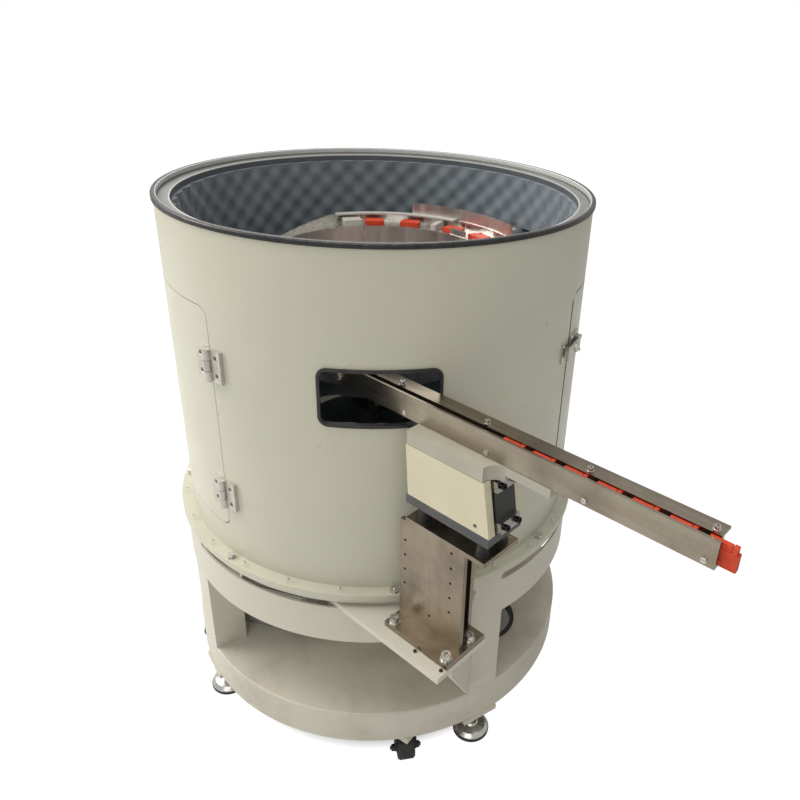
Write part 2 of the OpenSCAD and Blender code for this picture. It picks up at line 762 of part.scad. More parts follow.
// One hinge leaf with its knuckles. Local +X runs along the leaf, +Y is outward from the sheet,
// the pin's axis is the local Z axis. A door leaf has the middle knuckle, a frame leaf the others.
module hinge_leaf(middle) {
  third = hinge_h / 3;
  y0 = enc_r - hinge_at;
  difference() {
    union() {
      translate([0, y0 - 2, -hinge_h / 2]) cube([leaf_w, leaf_t + 2, hinge_h]);
      for (k = middle ? [0] : [-1, 1]) translate([0, 0, (k - 0.5) * third])
        cylinder(r = knuckle_r, h = third, $fn = 48);
    }
    for (k = middle ? [-1, 1] : [0]) translate([0, 0, (k - 0.5) * third - knuckle_gap])
      cylinder(r = knuckle_r + 2 * knuckle_gap, h = third + 2 * knuckle_gap, $fn = 48);
    translate([0, 0, -hinge_h]) cylinder(r = pin_r + (middle ? run_clear : eps), h = 2 * hinge_h, $fn = 48);
    for (z = [-1, 1]) translate([leaf_w * 0.62, y0 + leaf_t + eps, z * hinge_h * 0.28]) rotate([90, 0, 0])
      cylinder(r1 = 4.6, r2 = 2.2, h = 2.6, $fn = 32);
    translate([0, -hinge_at, -hinge_h]) cylinder(r = enc_r + seat, h = 2 * hinge_h, $fn = 720);
  }
}

module at_hinge(az) {
  for (z = [hinge_z, hinge_z + hinge_pitch])
    rotate([0, 0, az - 90]) translate([0, hinge_at, z]) children();
}

module frame_hinge_leaves() {
  color([0.6, 0.6, 0.6]) for (az = [left_az, right_az1]) at_hinge(az) mirror([1, 0, 0]) hinge_leaf(false);
}

module hinge_pins() {
  color([0.8, 0.8, 0.8]) for (az = [left_az, right_az1])
    at_hinge(az) translate([0, 0, -hinge_h / 2]) cylinder(r = pin_r, h = hinge_h, $fn = 48);
}

// Latches. Local +X runs from the seam over the frame, +Y is outward, Z is up.
module at_latch(az) {
  rotate([0, 0, az - 90]) translate([0, enc_r, latch_z]) children();
}

// Takes off what reaches below the curved sheet.
module on_sheet() {
  difference() {
    children();
    translate([0, -enc_r, -latch_h]) cylinder(r = enc_r + seat, h = 2 * latch_h, $fn = 720);
  }
}

module latch_keepers() {
  color([0.66, 0.66, 0.64]) for (az = [left_az1, right_az]) at_latch(az) on_sheet() union() {
    translate([8, -4, -latch_h * 0.38]) cube([26, 6, latch_h * 0.76]);
    translate([latch_hook - 6, 0.5, -10]) cube([3, latch_rib - 0.5, 20]);
  }
}

// Base plate with two ears and the pin that the lever turns on.
module latch_base() {
  color([0.66, 0.66, 0.64]) {
    on_sheet() difference() {
      union() {
        translate([-6 - latch_w, -5, -latch_h / 2]) cube([latch_w, 7.5, latch_h]);
        for (z = [latch_ear, -latch_ear - 3]) translate([latch_pin_x, 0, z]) {
          translate([0, latch_pin_y, 0]) cylinder(r = 6, h = 3, $fn = 48);
          translate([-6, 0, 0]) cube([12, latch_pin_y, 3]);
        }
      }
      translate([latch_pin_x, latch_pin_y, -latch_h]) cylinder(r = 2.5 + eps, h = 2 * latch_h, $fn = 32);
    }
    translate([latch_pin_x, latch_pin_y, -latch_ear - 4.5]) cylinder(r = 2.5, h = 2 * latch_ear + 9, $fn = 32);
  }
}

// Lever whose claw reaches over the seam and behind the keeper's rib.
module latch_lever() {
  h = 2 * latch_ear - 0.8;
  color([0.72, 0.72, 0.7]) difference() {
    union() {
      translate([latch_pin_x, latch_pin_y, -h / 2]) cylinder(r = 4.2, h = h, $fn = 48);
      translate([latch_pin_x, latch_pin_y + 1.5, -h / 2]) cube([latch_hook - latch_pin_x + 3, 3, h]);
      translate([latch_hook, latch_claw, -h / 2 + 3]) cube([3, latch_pin_y + 2 - latch_claw, h - 6]);
      translate([latch_hook - 38, latch_pin_y + 4, 0]) rotate([-90, 0, 0]) cylinder(r = 9, h = 3.5, $fn = 48);
    }
    translate([latch_pin_x, latch_pin_y, -latch_h]) cylinder(r = 2.5 + run_clear, h = 2 * latch_h, $fn = 32);
  }
}

module left_door() { door_sheet(left_az - door_span / 2, left_gap); }

module left_door_foam() { door_foam(left_az1); }

module left_hinge_leaves() {
  color([0.6, 0.6, 0.6]) at_hinge(left_az) hinge_leaf(true);
}

module left_latch_base() { at_latch(left_az1) latch_base(); }

module left_latch_lever() { at_latch(left_az1) latch_lever(); }

module right_door() { door_sheet(right_az + door_span / 2, right_gap); }

module right_door_foam() { door_foam(right_az); }

module right_hinge_leaves() {
  color([0.6, 0.6, 0.6]) at_hinge(right_az1) hinge_leaf(true);
}

module right_latch_base() { at_latch(right_az) latch_base(); }

module right_latch_lever() { at_latch(right_az) latch_lever(); }

// ---------- track shelf and bracket ----------

// Shelf whose tongue passes through a ventilation slot, with the gusset that carries it.
module track_shelf() {
  tip = [shelf_x - 5, shelf_y0 + 36];
  foot = pol(base_r, post_az - asin(post_w / 2 / base_r));
  run = norm(tip - foot);
  color([0.76, 0.74, 0.67]) difference() {
    union() {
      translate([200, shelf_y0, shelf_z - shelf_t]) cube([shelf_x - 200, shelf_y1 - shelf_y0, shelf_t]);
      translate([foot[0], foot[1], 0]) rotate([0, 0, atan2(tip[1] - foot[1], tip[0] - foot[0])])
        translate([0, gusset_t / 2, 0]) rotate([90, 0, 0]) linear_extrude(height = gusset_t) polygon([
          [-12, floor_z + gusset_foot], [10, floor_z + gusset_foot], [run, shelf_z - shelf_t - gusset_tip],
          [run, shelf_z - shelf_t + eps], [-12, shelf_z - shelf_t + eps]]);
    }
    translate([0, 0, -1]) cylinder(r = base_r + seat, h = slot_z + 1.3, $fn = 180);
    translate([0, 0, shelf_z - 2 * shelf_t]) cylinder(r = base_r - base_t - 10, h = 4 * shelf_t, $fn = 180);
    bracket_bolt_places() translate([0, 0, shelf_z - shelf_t - 1]) cylinder(r = cap_r + 0.3, h = shelf_t + 2, $fn = 32);
  }
}

module bracket_bolt_places() {
  for (x = [0, cap_dx], y = [0, cap_dy]) translate([cap_x + x, cap_y + y, 0]) children();
}

// Welded stainless bracket: base plate, two uprights and the top plate.
module track_bracket() {
  color([0.66, 0.62, 0.57]) difference() {
    union() {
      translate([plate_x, plate_y, shelf_z]) cube([plate_w, plate_d, plate_t]);
      translate([upright_x, front_y, plate_z - eps]) cube([upright_w, upright_t, upright_h + 2 * eps]);
      translate([rear_x, rear_y, plate_z - eps]) cube([rear_x1 - rear_x, upright_t, upright_h + 2 * eps]);
      translate([drive_x, front_y, top_plate_z - upright_t]) cube([drive_w - 4, drive_d + 4, upright_t]);
    }
    translate([0, 0, shelf_z - 1]) cylinder(r = base_r + 3, h = plate_t + 1 + eps, $fn = 180);
    translate([0, 0, drum_z - 2]) cylinder(r = deck_r + 3, h = ledge_z - drum_z + 4, $fn = 180);
    translate([0, 0, ledge_z]) cylinder(r = enc_clear, h = top_plate_z, $fn = 180);
    bracket_bolt_places() translate([0, 0, shelf_z - 1]) cylinder(r = cap_r + 0.3, h = plate_t + 2, $fn = 32);
    for (k = [0:4]) translate([tap_x + tap_dx, 0, plate_z + tap_z + tap_pitch * k]) tapped_hole();
    for (k = [0:3]) translate([tap_x, 0, plate_z + tap_z + tap_pitch * k]) tapped_hole();
    translate([tap_x + 58, 0, plate_z + tap_pitch]) tapped_hole();
    mount_places() translate([0, 0, top_plate_z - upright_t - 1]) cylinder(r = 3.3, h = upright_t + 2, $fn = 32);
  }
}

module tapped_hole() {
  translate([0, front_y - 1, 0]) rotate([-90, 0, 0]) cylinder(r = tap_r, h = upright_t + 2, $fn = 32);
}

module bracket_bolts() {
  color([0.74, 0.73, 0.7]) bracket_bolt_places() translate([0, 0, plate_z])
    cap_screw(cap_r, plate_t + shelf_t, 2);
}

// ---------- in-line drive ----------

module mount_places() {
  for (x = [drive_x + 24, drive_x + drive_w - 22], y = [front_y + 18, drive_y1 - 18])
    translate([x, y, 0]) children();
}

// Rubber buffers under the in-line drive and under the bowl's drive unit.
module rubber_mounts() {
  color([0.06, 0.06, 0.06]) {
    mount_places() translate([0, 0, top_plate_z]) buffer(mount_r, mount_h);
    for (k = [0:2]) rotate([0, 0, 30 + 120 * k]) translate([unit_r - unit_foot_r - 4, 0, deck_z])
      buffer(unit_foot_r, unit_foot_h);
  }
}

module buffer(r, h) {
  rotate_extrude($fn = 64) polygon([
    [0, 0], [r, 0], [r, 2], [r - 2, 3], [0.82 * r, h / 2], [r - 2, h - 3], [r, h - 2], [r, h], [0, h]]);
}

// Places pieces on the slanted line of a spring pack, local Z up along the leaf.
module on_pack(end) {
  translate([spring_x - end * spring_pitch, drive_yc, spring_zc]) rotate([0, -lean, 0]) children();
}

module drive_base() {
  t = tan(lean) * pedestal_h / 2;
  dx = tan(lean) * weld;
  x0 = spring_x - spring_pitch + pack_dx + seat;
  x1 = spring_x - seat;
  color([0.3, 0.3, 0.31]) difference() {
    union() {
      translate([drive_x, front_y, block_z]) cube([drive_w, drive_d, block_h]);
      translate([0, drive_yc + spring_w / 2, 0]) rotate([90, 0, 0]) linear_extrude(height = spring_w)
        polygon([[x0 + t + dx, block_top - weld], [x1 + t + dx, block_top - weld], [x1 - t, pedestal_z], [x0 - t, pedestal_z]]);
    }
    translate([0, 0, block_z - 1]) cylinder(r = enc_clear, h = block_h + 2, $fn = 180);
    for (y = [front_y, drive_y1]) translate([drive_x - 1, y, block_top - 2]) rotate([45, 0, 0])
      cube([drive_w + 2, 2.8, 2.8]);
    translate([drive_x + drive_w, front_y - 1, block_top - 2]) rotate([0, -45, 0]) cube([2.8, drive_d + 2, 2.8]);
  }
}

// Bevelled side cover, its right edge parallel to the springs.
module drive_cover() {
  h = arm_z - block_top - shake_gap;
  lean_x = h * tan(lean);
  color([0.86, 0.82, 0.69]) difference() {
    translate([0, front_y + cover_d, block_top]) rotate([90, 0, 0]) linear_extrude(height = cover_d)
      polygon([[drive_x + 4, 0], [drive_x1 + 1, 0], [drive_x1 + 1 - lean_x, h], [drive_x + 4 - 0.4 * lean_x, h]]);
    translate([0, front_y + cover_d + 1, block_top - 1]) rotate([90, 0, 0])
      linear_extrude(height = cover_d - cover_t + 1) polygon([
        [drive_x + 4 + cover_t, 0], [drive_x1 - cover_bevel, 0], [drive_x1 - cover_bevel - lean_x, h - cover_t],
        [drive_x + 4 + cover_t - 0.4 * lean_x, h - cover_t]]);
    translate([drive_x1 + 1, front_y, block_top]) rotate([0, -lean, 0]) rotate([0, 0, 45])
      translate([-cover_bevel * 2, -cover_bevel * 0.71 - 20, -30])
      cube([4 * cover_bevel, 20, h + 80]);
    translate([0, 0, block_top - 1]) cylinder(r = enc_clear, h = h + 2, $fn = 180);
  }
}

module drive_covers() {
  drive_cover();
  translate([0, 2 * drive_yc, 0]) mirror([0, 1, 0]) drive_cover();
}

module drive_springs() {
  z0 = 1 - pedestal_h / 2;
  z1 = (arm_z - spring_zc - 4) / cos(lean);
  color([0.1, 0.1, 0.1]) for (e = [0, 1], k = [0:leaf_n - 1]) on_pack(e)
    translate([k * (leaf_spring_t + spacer_t), -spring_w / 2, z0]) cube([leaf_spring_t, spring_w, z1 - z0]);
}

// Spacers between the leaves, clamp bars over them and the bars' screws.
module spring_clamps() {
  z1 = (arm_z - spring_zc - 4) / cos(lean);
  bar = 7;
  color([0.62, 0.62, 0.61]) for (e = [0, 1], z = [2 - pedestal_h / 2, z1 - 18]) on_pack(e) {
    for (k = [0:leaf_n - 2])
      translate([leaf_spring_t + k * (leaf_spring_t + spacer_t) + eps, -spring_w / 2, z])
        cube([spacer_t - 2 * eps, spring_w, 17]);
    translate([e == 0 ? pack_t + eps : -bar - eps, -spring_w / 2, z]) cube([bar, spring_w, 17]);
    for (y = [-1, 1]) translate([e == 0 ? pack_t + bar + 2 * eps : -bar - 2 * eps, y * spring_w * 0.3, z + 8.5])
      rotate([0, e == 0 ? 90 : -90, 0]) difference() {
        cylinder(r = 5, h = 6.5, $fn = 32);
        translate([0, 0, 3]) hex(5, 4);
      }
  }
}

module drive_coil() {
  x = spring_x - spring_pitch / 2;
  color([0.32, 0.2, 0.12]) translate([x, drive_yc, pedestal_z]) difference() {
    union() {
      translate([-30, -14, 0]) cube([60, 28, arm_z - arm_block_h - pedestal_z - 2 * shake_gap]);
      translate([-36, -20, 6]) cube([72, 40, arm_z - arm_block_h - pedestal_z - 14]);
    }
  }
}

// Arm that carries the track: a wide part over the springs, a nose, and the clamp block below.
module drive_arm() {
  xw = drive_x + arm_w;
  z0 = arm_z - arm_block_h;
  t0 = tan(lean) * (z0 - spring_zc);
  t1 = tan(lean) * (arm_z + weld - spring_zc);
  xa = spring_x - spring_pitch + pack_dx + seat;
  xb = spring_x - seat;
  color([0.74, 0.72, 0.66]) difference() {
    union() {
      translate([drive_x, front_y, arm_z]) cube([arm_w, drive_d, arm_t]);
      translate([xw - 1, nose_y, arm_top - nose_t]) cube([arm_nose + 1, drive_y1 - nose_y, nose_t]);
      translate([xw - 1, nose_y - arm_corner, arm_z]) difference() {
        cube([arm_corner + 1, arm_corner + 4, arm_t]);
        translate([arm_corner + 1, 0, -1]) cylinder(r = arm_corner, h = arm_t + 2, $fn = 64);
        translate([arm_corner, arm_corner, -1]) cube([4, 8, arm_t - nose_t + 1]);
      }
      translate([0, drive_yc + spring_w / 2, 0]) rotate([90, 0, 0]) linear_extrude(height = spring_w)
        polygon([[xa - t0, z0], [xb - t0, z0], [xb - t1, arm_z + weld], [xa - t1, arm_z + weld]]);
    }
    translate([0, 0, z0 - 1]) cylinder(r = enc_clear, h = arm_t + arm_block_h + 2, $fn = 180);
  }
}

// ---------- linear track ----------

module front_rail() {
  color([0.66, 0.62, 0.57]) difference() {
    translate([track_x0, 0, 0]) rotate([90, 0, 90]) linear_extrude(height = track_x1 - track_x0) polygon([
      [rail_y0, arm_top], [slot_y1 + back_t, arm_top], [slot_y1 + back_t, part_z], [slot_y0, part_z],
      [slot_y0, rail_z1], [rail_y0, rail_z1]]);
    face_screws() rotate([90, 0, 0]) translate([0, 0, -rail_t - 1]) cylinder(r = 2 + eps, h = rail_t + 2, $fn = 32);
  }
}

module back_rail() {
  color([0.55, 0.52, 0.48]) difference() {
    translate([track_x0, slot_y1, part_z + eps])
      cube([back_x1 - track_x0, back_t, rail_z1 - cover_plate_t - part_z - 2 * eps]);
    top_screws() translate([0, 0, -14]) cylinder(r = 2.5 + eps, h = 16, $fn = 32);
  }
}

module rail_cover() {
  color([0.68, 0.64, 0.59]) difference() {
    translate([track_x0, slot_y1, rail_z1 - cover_plate_t])
      cube([back_x1 - track_x0, cover_plate_d, cover_plate_t]);
    top_screws() translate([0, 0, -cover_plate_t - 1]) cylinder(r = 2.5 + eps, h = cover_plate_t + 2, $fn = 32);
  }
}

module face_screws() {
  for (k = [0:3]) translate([track_x1 - 14 - screw_pitch * k, rail_y0, arm_top + 8]) children();
}

module top_screws() {
  for (k = [0:3]) translate([track_x1 - 13 - (screw_pitch + 8) * k, slot_y1 + back_t / 2, rail_z1]) children();
}

module rail_fasteners() {
  color([0.74, 0.73, 0.7]) {
    top_screws() cap_screw(2.5, 13, 3.5);
    face_screws() rotate([90, 0, 0]) difference() {
      union() {
        translate([0, 0, -rail_t]) cylinder(r = 2, h = rail_t + 1, $fn = 32);
        translate([0, 0, eps]) cylinder(r = 4, h = 2, $fn = 32);
      }
      translate([-5, -0.5, 1.2]) cube([10, 1, 2]);
    }
  }
}

// One connector housing, lengthwise along X, standing on its narrow side.
module housing() {
  w = track_slot - 1;
  difference() {
    union() {
      translate([0, -w / 2, 0]) cube([part_l, w, 24]);
      translate([4, -w / 2 + 1, 23]) cube([part_l - 14, w - 2, 10]);
      translate([part_l - 9, -w / 2, 14]) cube([6, w, 19]);
    }
    translate([part_l - 6, -w / 2 + 2, 4]) cube([8, w - 4, 8]);
    translate([-1, -w / 2 + 2, 4]) cube([8, w - 4, 16]);
    translate([12, -w / 2 - 1, 8]) cube([12, 1.8, 9]);
  }
}

// The same housing lying on its broad side, lengthwise along X.
module housing_flat() {
  translate([-part_l / 2, 17, (track_slot - 1) / 2 + 0.5]) rotate([90, 0, 0]) housing();
}

module fed_parts() {
  color([0.85, 0.26, 0.1]) {
    for (k = [0:6]) translate([track_x1 - 20 - k * (part_l + part_gap), track_y, part_z + eps]) housing();
    for (a = [78, 96, 121, 140]) rotate([0, 0, a]) translate([pan_mid - 4, 0, pan_h(a)])
      rotate([0, 0, 90]) housing_flat();
  }
}

// ---------- bowl ----------

function spiral_h(a) = bowl_z + 18 + (pan_z + 4 - bowl_z - 18) * (a - spiral_a0) / (spiral_a1 - spiral_a0);
function pan_h(a) = a < slope_a ? pan_z : pan_z - (pan_z - chute_z) * (a - slope_a) / (270 - slope_a);

// Sweeps a profile of [radius, height] points, counted anticlockwise, along a list of [angle, height].
module sweep(path, profile) {
  m = len(profile);
  n = len(path);
  polyhedron(
    points = [for (p = path, q = profile) [q[0] * cos(p[0]), q[0] * sin(p[0]), p[1] + q[1]]],
    faces = concat(
      [[for (j = [m - 1:-1:0]) j]],
      [[for (j = [0:m - 1]) (n - 1) * m + j]],
      [for (i = [0:n - 2], j = [0:m - 1]) [i * m + j, i * m + (j + 1) % m, (i + 1) * m + (j + 1) % m]],
      [for (i = [0:n - 2], j = [0:m - 1]) [i * m + j, (i + 1) * m + (j + 1) % m, (i + 1) * m + j]]),
    convexity = 6);
}

module bowl() {
  ri = inner_r - bowl_t;
  color([0.7, 0.66, 0.62]) rotate_extrude($fn = 180) polygon([
    [centre_r + 0.3, bowl_z], [60, bowl_z], [60, bowl_z + 14], [ri, bowl_z + 3], [ri, bowl_z],
    [inner_r, bowl_z], [inner_r, pan_z + 1], [ri, pan_z + 1], [ri, bowl_z + 6],
    [60, bowl_z + 18], [centre_r + 0.3, bowl_z + 18]]);
}

// Spiral inside the bowl, the outer pan with its guard, and the straight chute to the track.
module bowl_track() {
  r = inner_r - bowl_t - seat;
  color([0.83, 0.81, 0.76]) {
    sweep([for (k = [0:spiral_n]) let (a = spiral_a0 + (spiral_a1 - spiral_a0) * k / spiral_n) [a, spiral_h(a)]],
      [[r - spiral_w, -spiral_t], [r, -spiral_t], [r, 0], [r - spiral_w, 0]]);
    sweep([for (a = [spiral_a1:pan_step:270]) [a, pan_h(a)]],
      [[pan_ri, -spiral_t], [bowl_r, -spiral_t], [bowl_r, guard_h], [bowl_r - bowl_t, guard_h],
        [bowl_r - bowl_t, 0], [pan_ri, 0]]);
    translate([join_gap, 0, chute_z]) rotate([0, asin((chute_z - part_z - 3) / chute_l), 0]) {
      translate([0, track_y - chute_w / 2, -spiral_t]) cube([track_x0 - 3, chute_w, spiral_t]);
      for (y = [track_y - chute_w / 2, track_y + chute_w / 2 - 2])
        translate([0, y, -eps]) cube([track_x0 - 3, 2, 26]);
    }
  }
}

module bowl_guides() {
  color([0.7, 0.62, 0.58]) {
    panel(64, 122, pan_z - 28, pan_z + guard_h + guide_rise, bowl_r + seat, bowl_r + 1.5 + seat);
    rotate([0, 0, 69]) translate([bowl_r + 1.5 + 2 * seat, -12, pan_z + 6]) {
      cube([1.5, 24, 22]);
      translate([0, 0, 22 - eps]) cube([18, 24, 1.5]);
      translate([16.5, 0, 22]) cube([1.5, 24, 16]);
    }
    rotate([0, 0, 88]) translate([inner_r - 1, -20, pan_z + 1 + seat]) cube([2, 44, 14]);
  }
}

// Pale hold-down ring over the pan's guard and the pads on the pan's floor.
module bowl_blocks() {
  color([0.86, 0.85, 0.8]) {
    panel(100, slope_a - 2, pan_z + guard_h + seat, pan_z + guard_h + 3, bowl_r - 17, bowl_r);
    rotate([0, 0, 152]) translate([pan_mid - 18, -22, pan_z + seat]) cube([30, 40, 11]);
    rotate([0, 0, 107]) translate([pan_mid - 24, -8, pan_z + seat]) cube([44, 12, 12]);
  }
}

// ---------- bowl drive unit ----------

// Places pieces on a spring pack, local Z up along the leaves, local Y through them.
module on_unit_pack() {
  for (k = [0:3]) rotate([0, 0, 45 + 90 * k]) translate([pack_at, 0, pack_zc]) rotate([pack_lean, 0, 0]) children();
}

module unit_base() {
  color([0.33, 0.36, 0.38]) union() {
    rotate_extrude($fn = 128) polygon([
      [0, unit_z], [unit_r - 6, unit_z], [unit_r, unit_z + 6], [unit_r, unit_z + unit_h * 0.55],
      [unit_r - 14, unit_top_z], [0, unit_top_z]]);
    translate([0, 0, unit_top_z - 1]) cylinder(r = 62, h = coil_z - unit_top_z + 1, $fn = 96);
    on_unit_pack() translate([-pack_w / 2, -24, -pack_len / 2 - 12]) cube([pack_w, 24 - eps, 46]);
  }
}

module unit_springs() {
  color([0.12, 0.12, 0.13]) on_unit_pack() for (k = [0:leaf_n - 1])
    translate([-pack_w / 2, k * (2 * leaf_spring_t - 0.4), -pack_len / 2])
      cube([pack_w, 2 * leaf_spring_t - 0.4 - eps, pack_len]);
}

module unit_top() {
  t = leaf_n * (2 * leaf_spring_t - 0.4);
  color([0.6, 0.61, 0.62]) union() {
    translate([0, 0, top_z]) cylinder(r = top_r, h = top_t, $fn = 128);
    translate([0, 0, armature_z]) cylinder(r = 48, h = top_z - armature_z + 1, $fn = 96);
    on_unit_pack() translate([-pack_w / 2, t + eps, pack_len / 2 - 34]) cube([pack_w, 24, 46]);
  }
}

module unit_coil() {
  color([0.3, 0.2, 0.12]) translate([0, 0, coil_z]) {
    translate([-42, -24, 0]) cube([84, 48, armature_z - coil_z - 2 * shake_gap]);
    translate([-52, -34, 8]) cube([104, 68, armature_z - coil_z - 22]);
  }
}

// Centre bolt with its washer and nut, clamping the bowl to the top plate.
module centre_bolt() {
  color([0.72, 0.72, 0.7]) union() {
    translate([0, 0, bowl_z + seat]) cylinder(r = centre_r, h = 18 + 34, $fn = 48);
    translate([0, 0, bowl_z + 18 + seat]) cylinder(r = 2.2 * centre_r, h = 4, $fn = 64);
    translate([0, 0, bowl_z + 22]) hex(3 * centre_r, 0.8 * centre_r + 8);
  }
}

base_drum();
cable_grommet();
controller_box();
foot_studs();
foot_pads();
caster_mounts();
caster_fork(1);  // caster_fork_1
caster_fork(2);  // caster_fork_2
caster_fork(3);  // caster_fork_3
caster_fork(4);  // caster_fork_4
caster_wheel(1);  // caster_wheel_1
caster_wheel(2);  // caster_wheel_2
caster_wheel(3);  // caster_wheel_3
caster_wheel(4);  // caster_wheel_4
deck_plate();
flange_bolts();
enclosure_shell();
rim_plate();
rim_trim();
window_trim();
foam_lining();
frame_hinge_leaves();
hinge_pins();
latch_keepers();
left_door();
left_door_foam();
left_hinge_leaves();
left_latch_base();
left_latch_lever();
right_door();
right_door_foam();
right_hinge_leaves();
right_latch_base();
right_latch_lever();
track_shelf();
track_bracket();
bracket_bolts();
rubber_mounts();
drive_base();
drive_covers();
drive_springs();
spring_clamps();
drive_coil();
drive_arm();
front_rail();
back_rail();
rail_cover();
rail_fasteners();
fed_parts();
bowl();
bowl_track();
bowl_guides();
bowl_blocks();
unit_base();
unit_springs();
unit_top();
unit_coil();
centre_bolt();
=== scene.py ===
import bpy, bmesh, math
from mathutils import Matrix, Vector


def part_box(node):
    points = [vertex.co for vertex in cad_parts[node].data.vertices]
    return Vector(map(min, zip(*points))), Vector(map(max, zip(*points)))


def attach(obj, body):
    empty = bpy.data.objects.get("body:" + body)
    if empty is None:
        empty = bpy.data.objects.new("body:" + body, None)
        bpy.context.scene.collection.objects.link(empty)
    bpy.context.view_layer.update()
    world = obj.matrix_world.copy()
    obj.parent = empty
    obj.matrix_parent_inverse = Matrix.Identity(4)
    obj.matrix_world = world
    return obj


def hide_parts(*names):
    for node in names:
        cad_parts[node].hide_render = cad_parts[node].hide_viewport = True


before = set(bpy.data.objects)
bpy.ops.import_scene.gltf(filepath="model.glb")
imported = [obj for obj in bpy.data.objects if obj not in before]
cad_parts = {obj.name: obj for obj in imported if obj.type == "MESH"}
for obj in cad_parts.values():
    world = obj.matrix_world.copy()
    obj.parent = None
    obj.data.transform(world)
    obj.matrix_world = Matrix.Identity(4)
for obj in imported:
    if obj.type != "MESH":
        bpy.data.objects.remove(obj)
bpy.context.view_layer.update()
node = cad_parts
scene = bpy.context.scene

# ---------------------------------------------------------------- camera
# Standing in front of the outlet side, a little above the rim, looking down
# at the track; tipped slightly, as a hand-held picture is.
facing, pitch, roll = math.radians(130.0), math.radians(26.157), math.radians(2.797)
forward = Vector((math.cos(facing), math.sin(facing), 0.0))
level = Vector((math.sin(facing), -math.cos(facing), 0.0))
ahead = forward * math.cos(pitch) - Vector((0, 0, math.sin(pitch)))
below = -forward * math.sin(pitch) - Vector((0, 0, math.cos(pitch)))
across = level * math.cos(roll) - below * math.sin(roll)
upward = -(level * math.sin(roll) + below * math.cos(roll))
lens = bpy.data.cameras.new("camera")
lens.sensor_width = 36.0
lens.lens = 33.11
lens.shift_x, lens.shift_y = -0.0771, -0.0288
lens.clip_end = 60.0
camera = bpy.data.objects.new("camera", lens)
scene.collection.objects.link(camera)
turned = Matrix((across, upward, -ahead)).transposed().to_4x4()
camera.matrix_world = Matrix.Translation((1.031, -0.9625, 1.366)) @ turned
scene.camera = camera

# ---------------------------------------------------------------- studio
# A pale floor that fades into a white room, one broad lamp from the left and
# weaker ones above, in front and behind. Under the drum the floor is in shade.
scene.view_settings.view_transform = "Standard"


def seen_directly(tree):
    """1 where the camera looks, also through a clear surface."""
    path = tree.nodes.new("ShaderNodeLightPath")
    both = tree.nodes.new("ShaderNodeMath")
    both.operation = "MAXIMUM"
    tree.links.new(path.outputs["Is Camera Ray"], both.inputs[0])
    tree.links.new(path.outputs["Is Transmission Ray"], both.inputs[1])
    return both.outputs[0]


def mirrored(tree):
    """1 where a glossy surface looks."""
    return tree.nodes.new("ShaderNodeLightPath").outputs["Is Glossy Ray"]


def levels(tree, amount, low, high, a=0.0, b=1.0):
    """Stretches an amount between low and high to the range a to b."""
    span = tree.nodes.new("ShaderNodeMapRange")
    for key, value in (("From Min", low), ("From Max", high), ("To Min", a), ("To Max", b)):
        span.inputs[key].default_value = value
    tree.links.new(amount, span.inputs["Value"])
    return span.outputs["Result"]


def product(tree, first, second):
    """Two amounts multiplied; the second may be a plain number."""
    both = tree.nodes.new("ShaderNodeMath")
    both.operation = "MULTIPLY"
    tree.links.new(first, both.inputs[0])
    if isinstance(second, float):
        both.inputs[1].default_value = second
    else:
        tree.links.new(second, both.inputs[1])
    return both.outputs[0]


def from_axis(tree):
    """Distance from the drum's upright axis."""
    where = tree.nodes.new("ShaderNodeTexCoord")
    flat = tree.nodes.new("ShaderNodeMapping")
    flat.inputs["Scale"].default_value = (1, 1, 0)
    radius = tree.nodes.new("ShaderNodeVectorMath")
    radius.operation = "LENGTH"
    tree.links.new(where.outputs["Object"], flat.inputs["Vector"])
    tree.links.new(flat.outputs["Vector"], radius.inputs[0])
    return radius.outputs["Value"]


room = bpy.data.worlds.new("white_room")
room.use_nodes = True
tree = room.node_tree
soft = tree.nodes["Background"]
soft.inputs["Color"].default_value = (1.0, 0.985, 0.96, 1)
soft.inputs["Strength"].default_value = 0.37
white = tree.nodes.new("ShaderNodeBackground")
white.inputs["Color"].default_value = (1, 1, 1, 1)
white.inputs["Strength"].default_value = 1.0
grey = tree.nodes.new("ShaderNodeBackground")
grey.inputs["Color"].default_value = (1.0, 0.985, 0.96, 1)
grey.inputs["Strength"].default_value = 0.56
gloss_mix = tree.nodes.new("ShaderNodeMixShader")
tree.links.new(mirrored(tree), gloss_mix.inputs["Fac"])
tree.links.new(soft.outputs[0], gloss_mix.inputs[1])
tree.links.new(grey.outputs[0], gloss_mix.inputs[2])
room_mix = tree.nodes.new("ShaderNodeMixShader")
tree.links.new(seen_directly(tree), room_mix.inputs["Fac"])
tree.links.new(gloss_mix.outputs[0], room_mix.inputs[1])
tree.links.new(white.outputs[0], room_mix.inputs[2])
tree.links.new(room_mix.outputs[0], tree.nodes["World Output"].inputs["Surface"])
scene.world = room

bm = bmesh.new()
bmesh.ops.create_grid(bm, x_segments=2, y_segments=2, size=14.0)
bmesh.ops.translate(bm, verts=bm.verts, vec=(0, 0, -0.0005))
sheet = bpy.data.meshes.new("floor")
bm.to_mesh(sheet)
bm.free()
floor = bpy.data.objects.new("floor", sheet)
scene.collection.objects.link(floor)
pale = bpy.data.materials.new("pale_floor")
pale.use_nodes = True
tree = pale.node_tree
matt = tree.nodes["Principled BSDF"]
matt.inputs["Base Color"].default_value = (0.80, 0.80, 0.79, 1)
matt.inputs["Roughness"].default_value = 0.9
lit = tree.nodes.new("ShaderNodeEmission")
lit.inputs["Strength"].default_value = 1.12
share = product(tree, seen_directly(tree), levels(tree, from_axis(tree), 0.34, 0.38, 0.0, 0.90))
floor_mix = tree.nodes.new("ShaderNodeMixShader")
tree.links.new(share, floor_mix.inputs["Fac"])
tree.links.new(matt.outputs[0], floor_mix.inputs[1])
